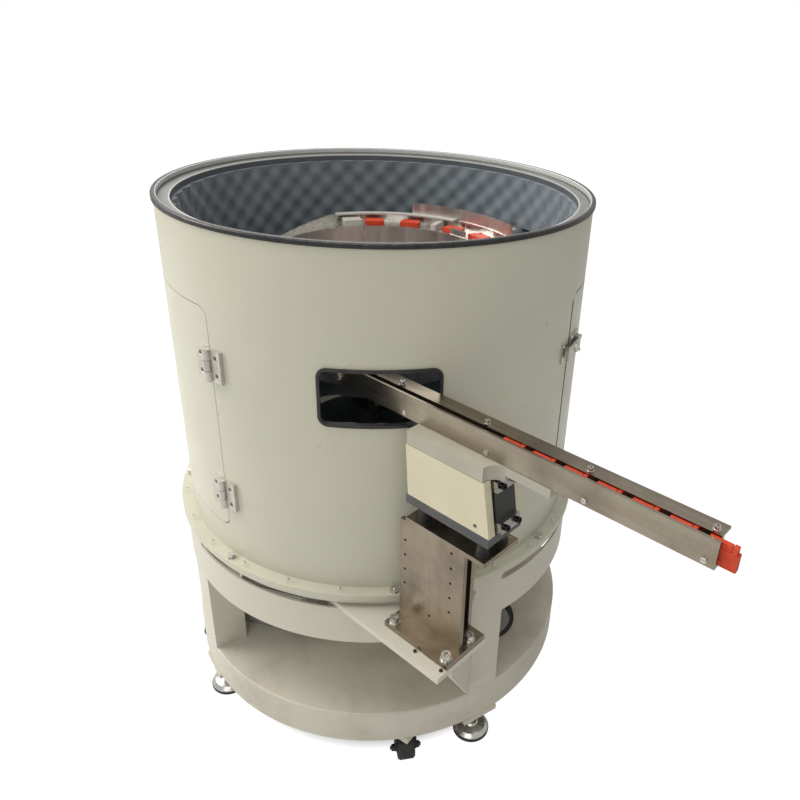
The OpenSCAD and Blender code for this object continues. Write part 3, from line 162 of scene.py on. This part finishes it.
tree.links.new(lit.outputs[0], floor_mix.inputs[2])
tree.links.new(floor_mix.outputs[0], tree.nodes["Material Output"].inputs["Surface"])
sheet.materials.append(pale)

lamps_aim = Vector((0.1, 0, 0.6))
for name, azimuth, elevation, away, size, power in [
        ("left_lamp", -148, 36, 4.0, 2.8, 128),
        ("top_lamp", -60, 84, 3.2, 2.2, 36),
        ("front_lamp", -62, 34, 4.4, 2.6, 34),
        ("rear_lamp", 146, 40, 4.2, 2.2, 32)]:
    lamp = bpy.data.lights.new(name, "AREA")
    lamp.size = size
    lamp.energy = power
    lamp.color = (1.0, 0.985, 0.95)
    a, e = math.radians(azimuth), math.radians(elevation)
    toward = Vector((math.cos(a) * math.cos(e), math.sin(a) * math.cos(e), math.sin(e)))
    holder = bpy.data.objects.new(name, lamp)
    scene.collection.objects.link(holder)
    turned = toward.to_track_quat("Z", "Y").to_matrix().to_4x4()
    holder.matrix_world = Matrix.Translation(lamps_aim + toward * away) @ turned

# ---------------------------------------------------------------- sheet metal
# The base drum, deck, enclosure, doors and track shelf are rolled and welded
# steel sheet, stove enamelled in a warm light grey. The enamel has a faint
# orange peel and scuffs, and is darker in patches low down.


def finish(name, roughness, metallic=0.0):
    """A bare finish: its material, its tree and its shader."""
    made = bpy.data.materials.new(name)
    made.use_nodes = True
    shader = made.node_tree.nodes["Principled BSDF"]
    shader.inputs["Roughness"].default_value = roughness
    shader.inputs["Metallic"].default_value = metallic
    return made, made.node_tree, shader


def spread(tree, scale, detail=3.0, stretch=(1, 1, 1), rough=0.5):
    """Random patches fixed to the piece; stretch squeezes them along an axis."""
    where = tree.nodes.new("ShaderNodeTexCoord")
    place = tree.nodes.new("ShaderNodeMapping")
    place.inputs["Scale"].default_value = stretch
    patches = tree.nodes.new("ShaderNodeTexNoise")
    patches.inputs["Scale"].default_value = scale
    patches.inputs["Detail"].default_value = detail
    patches.inputs["Roughness"].default_value = rough
    tree.links.new(where.outputs["Object"], place.inputs["Vector"])
    tree.links.new(place.outputs["Vector"], patches.inputs["Vector"])
    return patches.outputs["Fac"]


def shades(tree, amount, *stops):
    """Colours between two or more stops, each (position, colour)."""
    ramp = tree.nodes.new("ShaderNodeValToRGB")
    stop = ramp.color_ramp.elements
    while len(stop) < len(stops):
        stop.new(0.5)
    for k, (at, colour) in enumerate(stops):
        stop[k].position = at
        stop[k].color = (*colour, 1)
    tree.links.new(amount, ramp.inputs["Fac"])
    return ramp.outputs["Color"]


def laid_over(tree, amount, under, over):
    """The over colour where amount is 1, the under colour where it is 0."""
    mix = tree.nodes.new("ShaderNodeMix")
    mix.data_type = "RGBA"
    tree.links.new(amount, mix.inputs["Factor"])
    tree.links.new(under, mix.inputs["A"])
    if isinstance(over, tuple):
        mix.inputs["B"].default_value = (*over, 1)
    else:
        tree.links.new(over, mix.inputs["B"])
    return mix.outputs["Result"]


def colour(tree, shader, tone):
    tree.links.new(tone, shader.inputs["Base Color"])


def colour_over(tree, shader, amount, over):
    """Another colour on a coloured finish, where amount is 1."""
    colour(tree, shader, laid_over(tree, amount, shader.inputs["Base Color"].links[0].from_socket, over))


def gloss(tree, shader, patches, smooth, dull, low=0.3, high=0.7):
    """Roughness from smooth to dull, as the patches go from low to high."""
    tree.links.new(levels(tree, patches, low, high, smooth, dull), shader.inputs["Roughness"])


def emboss(tree, shader, height, depth, strength=1.0):
    """Relief of the given depth, in metres, from a height of 0 to 1."""
    bump = tree.nodes.new("ShaderNodeBump")
    bump.inputs["Distance"].default_value = depth
    bump.inputs["Strength"].default_value = strength
    tree.links.new(height, bump.inputs["Height"])
    tree.links.new(bump.outputs["Normal"], shader.inputs["Normal"])


def distance_along(tree, direction):
    """How far a point lies from the origin along a direction."""
    where = tree.nodes.new("ShaderNodeTexCoord")
    measured = tree.nodes.new("ShaderNodeVectorMath")
    measured.operation = "DOT_PRODUCT"
    measured.inputs[1].default_value = direction
    tree.links.new(where.outputs["Object"], measured.inputs[0])
    return measured.outputs["Value"]


def height_above_floor(tree):
    where = tree.nodes.new("ShaderNodeTexCoord")
    split = tree.nodes.new("ShaderNodeSeparateXYZ")
    tree.links.new(where.outputs["Object"], split.inputs["Vector"])
    return split.outputs["Z"]


def enamel(name, body_tone, cool_tone, low_patch_and_scuff_tone, darkens_below):
    """Enamelled sheet, darker in patches over the 160 mm below a height, with scuffs."""
    made, tree, shader = finish(name, 0.34)
    tone = shades(tree, spread(tree, 3.2, 2.0), (0.32, cool_tone), (0.68, body_tone))
    # darker in patches low down, fading out over 160 mm up to the given height
    darker_low_down = product(tree, levels(tree, spread(tree, 9.0, 5.0, rough=0.62), 0.46, 0.72),
                    levels(tree, height_above_floor(tree), darkens_below, darkens_below - 0.16))
    tone = laid_over(tree, product(tree, darker_low_down, 0.5), tone, low_patch_and_scuff_tone)
    scuffs = levels(tree, spread(tree, 60.0, 4.0, stretch=(1, 1, 0.2), rough=0.6), 0.66, 0.74)
    tone = laid_over(tree, product(tree, scuffs, 0.10), tone, low_patch_and_scuff_tone)
    colour(tree, shader, tone)
    gloss(tree, shader, spread(tree, 14.0, 4.0), 0.27, 0.42)
    emboss(tree, shader, spread(tree, 420.0, 2.0), 0.00035, 0.16)
    return made


def coat(made, *names):
    """Gives CAD nodes this finish."""
    for name in names:
        for held in node[name].material_slots:
            held.material = made


shell_enamel = enamel("shell_enamel", (0.595, 0.580, 0.468), (0.565, 0.555, 0.452),
                      (0.36, 0.33, 0.26), 0.50)
base_enamel = enamel("base_enamel", (0.620, 0.585, 0.490), (0.585, 0.558, 0.470),
                     (0.34, 0.30, 0.235), 0.30)
coat(shell_enamel, "enclosure_shell", "left_door", "deck_plate")
coat(base_enamel, "base_drum", "track_shelf")

# Both doors span 60 degrees of the wall from the seam at their latch. The right
# door's latch edge carries a black sealing lip, seen in its gap.
left_seam, right_seam, door_span = -146.5, 14.5, 60
seam = math.radians(right_seam)
lipped_enamel = shell_enamel.copy()
lipped_enamel.name = "lipped_enamel"
tree = lipped_enamel.node_tree
past_seam = distance_along(tree, (-math.sin(seam), math.cos(seam), 0))
colour_over(tree, tree.nodes["Principled BSDF"],
            levels(tree, past_seam, 0.0036, 0.0032), (0.014, 0.014, 0.013))
coat(lipped_enamel, "right_door")

# ---------------------------------------------------------------- top ring
# The annular plate that closes the foam's top edge is folded from darker grey
# sheet; a painted highlight lightens the edge of its inner lip, and the lip
# below its top edge is coloured dark blue-grey.
ring_enamel, tree, shader = finish("ring_enamel", 0.36)
lip_r, lip_edge = 0.3744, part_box("rim_plate")[1].z - 0.0014
colour(tree, shader, shades(tree, spread(tree, 7.0, 4.0),
                            (0.3, (0.175, 0.182, 0.178)), (0.7, (0.225, 0.232, 0.226))))
# painted highlight: a pale band along the edge of the inner lip
colour_over(tree, shader, levels(tree, from_axis(tree), lip_r + 0.0018, lip_r), (0.52, 0.53, 0.51))
# the lip below its top edge in dark blue-grey
colour_over(tree, shader, levels(tree, height_above_floor(tree), lip_edge, lip_edge - 0.0006),
            (0.085, 0.096, 0.106))
gloss(tree, shader, spread(tree, 60.0, 5.0), 0.26, 0.44)
emboss(tree, shader, spread(tree, 500.0, 2.0), 0.0003, 0.15)
coat(ring_enamel, "rim_plate")

# ---------------------------------------------------------------- rubber
# Edge trims, window edging, buffers and foot rims are extruded or moulded
# black rubber with a dull bloom. A painted highlight runs round the inner side
# of the rim's trim as a grey line.


def rubber(name, dark, pale, roughness):
    made, tree, shader = finish(name, roughness)
    colour(tree, shader, shades(tree, spread(tree, 40.0, 5.0), (0.35, dark), (0.75, pale)))
    gloss(tree, shader, spread(tree, 90.0, 4.0), roughness - 0.08, roughness + 0.12)
    emboss(tree, shader, spread(tree, 900.0, 3.0), 0.0003, 0.25)
    return made


edge_rubber = rubber("edge_rubber", (0.012, 0.012, 0.013), (0.032, 0.032, 0.034), 0.42)
buffer_rubber = rubber("buffer_rubber", (0.010, 0.010, 0.010), (0.026, 0.025, 0.024), 0.55)
wheel_rubber = rubber("wheel_rubber", (0.016, 0.016, 0.016), (0.040, 0.039, 0.037), 0.50)
trim_rubber = rubber("trim_rubber", (0.012, 0.012, 0.013), (0.032, 0.032, 0.034), 0.30)
tree = trim_rubber.node_tree
# painted highlight: a grey line round the inner side of the rim's trim
trim_highlight_line = levels(tree, from_axis(tree), 0.3964, 0.3958)
colour_over(tree, tree.nodes["Principled BSDF"], trim_highlight_line, (0.50, 0.51, 0.50))
coat(trim_rubber, "rim_trim")
coat(edge_rubber, "window_trim", "cable_grommet", "foot_pads")
coat(buffer_rubber, "rubber_mounts")
coat(wheel_rubber, *[f"caster_wheel_{k}" for k in range(1, 5)])

# ---------------------------------------------------------------- acoustic foam
# The inside of the enclosure and of its doors is lined with 34 mm egg-crate
# foam, dark blue-grey and glued on; its low knobs stand in a diagonal lattice.
foam, tree, shader = finish("foam", 0.80)
shader.inputs["Sheen Weight"].default_value = 0.35
shader.inputs["Sheen Roughness"].default_value = 0.35
shader.inputs["Sheen Tint"].default_value = (0.75, 0.82, 0.90, 1)
pores = spread(tree, 700.0, 4.0, rough=0.75)
tone = shades(tree, spread(tree, 10.0, 4.0), (0.3, (0.160, 0.187, 0.212)), (0.7, (0.198, 0.228, 0.256)))
colour(tree, shader, tone)
colour_over(tree, shader, levels(tree, pores, 0.42, 0.60, 0.0, 0.55), (0.095, 0.110, 0.124))
emboss(tree, shader, pores, 0.0012, 0.5)

foam_in, foam_out = 0.3632, 0.3972
knob_pitch, knob_depth = 0.050, 0.007


def egg_crate(name, from_az, to_az, stands_for, body, cut_outs=()):
    """Foam on a stretch of the wall, knobs inwards, with cut-outs, each (az, az, z, z)."""
    low, high = (corner.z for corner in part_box(stands_for))
    bm = bmesh.new()
    per_knob = 8
    along = round(math.radians(to_az - from_az) * foam_in / knob_pitch) * per_knob
    up = round((high - low) / knob_pitch * per_knob)
    bmesh.ops.create_grid(bm, x_segments=along, y_segments=up, size=0.5)
    for v in bm.verts:
        v.co = (from_az + (v.co.x + 0.5) * (to_az - from_az), low + (v.co.y + 0.5) * (high - low), 0)
    for a0, a1, z0, z1 in cut_outs:
        for point, normal in (((a0, 0, 0), (1, 0, 0)), ((a1, 0, 0), (1, 0, 0)),
                              ((0, z0, 0), (0, 1, 0)), ((0, z1, 0), (0, 1, 0))):
            bmesh.ops.bisect_plane(bm, geom=bm.verts[:] + bm.edges[:] + bm.faces[:], dist=1e-5,
                                   plane_co=point, plane_no=normal)
        inside = []
        for f in bm.faces:
            middle = f.calc_center_median()
            if a0 < middle.x < a1 and z0 < middle.y < z1:
                inside.append(f)
        bmesh.ops.delete(bm, geom=inside, context="FACES")
    for v in bm.verts:
        az, z = v.co.x, v.co.y
        u = (az / 360.0) * round(2 * math.pi * foam_in / knob_pitch) * 2 * math.pi
        w = z / knob_pitch * 2 * math.pi
        knob = math.cos(u) * math.cos(w)
        knob = math.copysign(abs(knob) ** 0.85, knob)
        r = foam_in + knob_depth * (0.5 - 0.5 * knob)
        a = math.radians(az)
        v.co = (r * math.cos(a), r * math.sin(a), z)
    bmesh.ops.remove_doubles(bm, verts=bm.verts, dist=1e-6)
    for f in bm.faces:
        f.smooth = True
    grown = bmesh.ops.extrude_face_region(bm, geom=bm.faces[:])
    for v in (g for g in grown["geom"] if isinstance(g, bmesh.types.BMVert)):
        k = foam_out / math.hypot(v.co.x, v.co.y)
        v.co.x *= k
        v.co.y *= k
    bmesh.ops.recalc_face_normals(bm, faces=bm.faces)
    mesh = bpy.data.meshes.new(name)
    bm.to_mesh(mesh)
    bm.free()
    mesh.set_sharp_from_angle(angle=math.radians(58))
    mesh.materials.append(foam)
    piece = bpy.data.objects.new(name, mesh)
    scene.collection.objects.link(piece)
    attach(piece, body)
    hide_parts(stands_for)


# Degrees of wall in a metre, and how far the foam keeps clear of the window
# and of the doorways.
per_metre = 180 / math.pi / foam_out
window_az, window_clear = -43.25, 0.115 * per_metre
latch_clear, hinge_clear, door_margin = 0.016 * per_metre, 0.022 * per_metre, 0.014 * per_metre
cut_outs = [(window_az - window_clear, window_az + window_clear, 0.766, 0.889)]
for seam in (left_seam, right_seam):
    cut_outs.append((seam - latch_clear, seam + door_span + hinge_clear, 0.500, 0.945))
egg_crate("foam_on_wall", -180, 180, "foam_lining", "machine", cut_outs)
for door, seam in (("left_door", left_seam), ("right_door", right_seam)):
    egg_crate("foam_on_" + door, seam + door_margin, seam + door_span - door_margin, door + "_foam", door)

# ---------------------------------------------------------------- bare steel
# Rails, bracket and bowl are stainless steel with a warm tarnish: the rails
# are ground lengthwise, the bracket and the bowl's wall upright.


def ground_steel(name, dark, light, stretch, roughness, stains):
    """Bare steel with its grain along the axis that stretch makes small."""
    made, tree, shader = finish(name, roughness, metallic=1.0)
    lines = spread(tree, 60.0, 5.0, stretch=stretch, rough=0.65)
    tone = shades(tree, lines, (0.28, dark), (0.72, light))
    cloudy = levels(tree, spread(tree, 11.0, 5.0, rough=0.6), 0.44, 0.72)
    tone = laid_over(tree, product(tree, cloudy, stains), tone, tuple(0.45 * c for c in dark))
    colour(tree, shader, tone)
    gloss(tree, shader, lines, roughness - 0.07, roughness + 0.1, low=0.25, high=0.75)
    emboss(tree, shader, lines, 0.0004, 0.12)
    return made


# The rail and bracket steel is coloured far darker than the bowl's: a painted reflection of dark
# surroundings.
rail_steel = ground_steel("rail_steel", (0.28, 0.240, 0.185), (0.40, 0.350, 0.282), (0.03, 1, 1), 0.30, 0.6)
bracket_steel = ground_steel("bracket_steel", (0.26, 0.218, 0.165), (0.36, 0.308, 0.242),
                             (1, 1, 0.04), 0.33, 0.6)
bowl_steel = ground_steel("bowl_steel", (0.58, 0.53, 0.50), (0.74, 0.69, 0.66), (1, 1, 0.08), 0.30, 0.25)
track_steel = ground_steel("track_steel", (0.60, 0.58, 0.54), (0.74, 0.72, 0.68), (1, 1, 1), 0.26, 0.2)
coat(rail_steel, "front_rail", "back_rail", "rail_cover")
coat(bracket_steel, "track_bracket")
coat(bowl_steel, "bowl", "bowl_guides")
coat(track_steel, "bowl_track")

# ---------------------------------------------------------------- bright hardware
# Screws, nuts, feet, hinge pins, clamp bars and caster plates are zinc plated
# or polished steel; hinges and latches are die-cast with a warm satin.
plated, tree, shader = finish("plated", 0.24, metallic=1.0)
colour(tree, shader, shades(tree, spread(tree, 35.0, 4.0),
                            (0.3, (0.52, 0.51, 0.49)), (0.7, (0.68, 0.67, 0.65))))
gloss(tree, shader, spread(tree, 120.0, 4.0), 0.18, 0.36)
emboss(tree, shader, spread(tree, 500.0, 3.0), 0.0003, 0.12)
diecast, tree, shader = finish("diecast", 0.40, metallic=1.0)
colour(tree, shader, shades(tree, spread(tree, 50.0, 5.0),
                            (0.3, (0.50, 0.48, 0.43)), (0.7, (0.66, 0.64, 0.58))))
gloss(tree, shader, spread(tree, 150.0, 4.0), 0.32, 0.50)
emboss(tree, shader, spread(tree, 700.0, 3.0), 0.0004, 0.25)
coat(plated, "foot_studs", "caster_mounts", "flange_bolts", "bracket_bolts", "rail_fasteners",
     "hinge_pins", "centre_bolt")
coat(diecast, "frame_hinge_leaves", "left_hinge_leaves", "right_hinge_leaves", "latch_keepers",
     "left_latch_base", "left_latch_lever", "right_latch_base", "right_latch_lever")

# The clamp bars' screws are black; their heads are what stands farthest out on
# both sides of the leaning packs.
clamp_steel = plated.copy()
clamp_steel.name = "clamp_steel"
tree = clamp_steel.node_tree
lean, head_height, fade = math.radians(10), 0.0066, 0.0002
over_pack = Vector((math.cos(lean), 0, math.sin(lean)))
reach = [v.co.dot(over_pack) for v in node["spring_clamps"].data.vertices]
out_along = distance_along(tree, over_pack)
for edge, outwards in ((max(reach) - head_height, 1), (min(reach) + head_height, -1)):
    colour_over(tree, tree.nodes["Principled BSDF"],
                levels(tree, out_along, edge, edge + outwards * fade), (0.030, 0.030, 0.029))
coat(clamp_steel, "spring_clamps")

# ---------------------------------------------------------------- painted machine parts
# The in-line drive has cream covers, a pale arm and a graphite base block;
# the bowl's drive unit is a hammertone grey casting, the controller's case is
# mid grey and the casters' forks are black.


def machine_paint(name, dark, light, roughness, peel=420.0, depth=0.0003):
    made, tree, shader = finish(name, roughness)
    colour(tree, shader, shades(tree, spread(tree, 12.0, 4.0), (0.3, dark), (0.7, light)))
    gloss(tree, shader, spread(tree, 45.0, 5.0), roughness - 0.07, roughness + 0.1)
    emboss(tree, shader, spread(tree, peel, 2.0), depth, 0.2)
    return made


cover_paint = machine_paint("cover_paint", (0.62, 0.565, 0.40), (0.67, 0.62, 0.455), 0.36)
arm_paint = machine_paint("arm_paint", (0.38, 0.362, 0.290), (0.44, 0.420, 0.342), 0.38)
block_paint = machine_paint("block_paint", (0.050, 0.052, 0.056), (0.075, 0.077, 0.082), 0.40)
unit_paint = machine_paint("unit_paint", (0.095, 0.110, 0.120), (0.140, 0.158, 0.170), 0.45,
                           peel=160.0, depth=0.0009)
black_paint = machine_paint("black_paint", (0.012, 0.012, 0.013), (0.024, 0.024, 0.025), 0.38)
leaf_black = machine_paint("leaf_black", (0.014, 0.014, 0.015), (0.030, 0.029, 0.028), 0.45, peel=900.0)
coil_tape = machine_paint("coil_tape", (0.10, 0.045, 0.016), (0.20, 0.10, 0.04), 0.42,
                          peel=300.0, depth=0.0008)
case_paint = machine_paint("case_paint", (0.26, 0.255, 0.235), (0.33, 0.325, 0.30), 0.45)
coat(cover_paint, "drive_covers")
coat(arm_paint, "drive_arm")
coat(block_paint, "drive_base")
coat(unit_paint, "unit_base", "unit_top")
coat(black_paint, *[f"caster_fork_{k}" for k in range(1, 5)])
coat(leaf_black, "drive_springs", "unit_springs")
coat(coil_tape, "drive_coil", "unit_coil")
coat(case_paint, "controller_box")

# ---------------------------------------------------------------- plastics
# The fed parts are moulded connector housings in orange; the hold-down ring
# and the pads in the bowl are milled from pale grey plastic.


def moulding(name, dark, light, roughness):
    made, tree, shader = finish(name, roughness)
    colour(tree, shader, shades(tree, spread(tree, 55.0, 4.0), (0.3, dark), (0.7, light)))
    gloss(tree, shader, spread(tree, 160.0, 4.0), roughness - 0.06, roughness + 0.1)
    emboss(tree, shader, spread(tree, 1200.0, 2.0), 0.0002, 0.2)
    return made


orange_plastic = moulding("orange_plastic", (0.48, 0.034, 0.012), (0.64, 0.064, 0.022), 0.42)
orange_plastic.node_tree.nodes["Principled BSDF"].inputs["Specular IOR Level"].default_value = 0.3
pale_plastic = moulding("pale_plastic", (0.42, 0.405, 0.375), (0.50, 0.485, 0.450), 0.45)
coat(orange_plastic, "fed_parts")
coat(pale_plastic, "bowl_blocks")

# ---------------------------------------------------------------- small screws
# Screws and rivets too small to be parts of their own: domed rivets round the
# flange, countersunk screws in the hinges, pan heads in latches and covers.


def screw_head(radius, rise, socket):
    """One head, standing on the origin, with a socket of the given share of its radius."""
    bm = bmesh.new()
    bmesh.ops.create_cone(bm, cap_ends=True, cap_tris=False, segments=20,
                          radius1=radius, radius2=radius * 0.86, depth=rise)
    bmesh.ops.translate(bm, verts=bm.verts, vec=(0, 0, rise / 2))
    rim = [e for e in bm.edges if min(v.co.z for v in e.verts) > rise * 0.9]
    bmesh.ops.bevel(bm, geom=rim, offset=rise * 0.25, offset_type="OFFSET", segments=2,
                    profile=0.5, affect="EDGES", material=-1)
    if socket:
        top = max(bm.faces, key=lambda f: f.calc_center_median().z)
        bmesh.ops.inset_region(bm, faces=[top], thickness=radius * (0.72 - socket))
        bmesh.ops.inset_region(bm, faces=[top], thickness=radius * 0.03)
        bmesh.ops.translate(bm, verts=top.verts, vec=(0, 0, -0.6 * rise))
    head = bpy.data.meshes.new("head")
    bm.to_mesh(head)
    bm.free()
    return head


def screws(name, head, places, made, body):
    """One piece holding a head at each place."""
    bm = bmesh.new()
    for place in places:
        before = len(bm.verts)
        bm.from_mesh(head)
        bm.verts.ensure_lookup_table()
        bmesh.ops.transform(bm, matrix=place, verts=bm.verts[before:])
    mesh = bpy.data.meshes.new(name)
    bm.to_mesh(mesh)
    bm.free()
    for face in mesh.polygons:
        face.use_smooth = True
    mesh.set_sharp_from_angle(angle=math.radians(38))
    mesh.materials.append(made)
    piece = bpy.data.objects.new(name, mesh)
    scene.collection.objects.link(piece)
    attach(piece, body)


def outward(az, r, side, z):
    """A place on the wall at a direction, side metres along it, local Z pointing outwards."""
    out = Matrix.Rotation(math.radians(az - 90), 4, "Z") @ Matrix.Translation((side, r, z))
    return out @ Matrix.Rotation(math.radians(-90), 4, "X")


flange_top, rivet_r, rivet_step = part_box("enclosure_shell")[0].z + 0.012, 0.4135, 13.3
rivets = [Matrix.Rotation(math.radians(-106.5 + rivet_step * k), 4, "Z")
          @ Matrix.Translation((rivet_r, 0, flange_top - 0.0002)) for k in range(27)]
screws("flange_rivets", screw_head(0.0030, 0.0019, 0), rivets, plated, "machine")

dull_screw = machine_paint("dull_screw", (0.085, 0.080, 0.070), (0.16, 0.15, 0.13), 0.40, peel=900.0)
countersunk = screw_head(0.0041, 0.0012, 0.34)
hinge_face, hinge_levels, latch_level = 0.4044, (0.586, 0.839), 0.831
for body, seam in (("left_door", left_seam), ("right_door", right_seam)):
    for on, side, ending in ((body, 1, ""), ("machine", -1, "_frame")):
        places = [outward(seam + door_span, hinge_face, side * 0.01922, z + dz)
                  for z in hinge_levels for dz in (-0.01596, 0.01596)]
        screws("hinge_screws_" + body + ending, countersunk, places, dull_screw, on)
latch_head = screw_head(0.0026, 0.0015, 0.36)
for body, seam in (("left_door", left_seam), ("right_door", right_seam)):
    places = [outward(seam, 0.4024, x, latch_level + dz)
              for x in (-0.0415, -0.0105) for dz in (-0.0185, 0.0185)]
    screws("latch_screws_" + body, latch_head, places, plated, body)
    places = [outward(seam, 0.4019, 0.030, latch_level + dz) for dz in (-0.0142, 0.0142)]
    screws("keeper_screws_" + body, latch_head, places, plated, "machine")
shelf_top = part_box("track_shelf")[1].z
places = [Matrix.Translation((x, -0.3195, shelf_top - 0.0001)) for x in (0.420, 0.478)]
screws("shelf_set_screws", screw_head(0.0034, 0.0030, 0.42), places, black_paint, "machine")
cover_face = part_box("drive_covers")[0].y
place = Matrix.Translation((0.494, cover_face + 0.0001, 0.697)) @ Matrix.Rotation(math.radians(90), 4, "X")
screws("cover_screws", screw_head(0.0032, 0.0012, 0.40), [place], dull_screw, "machine")
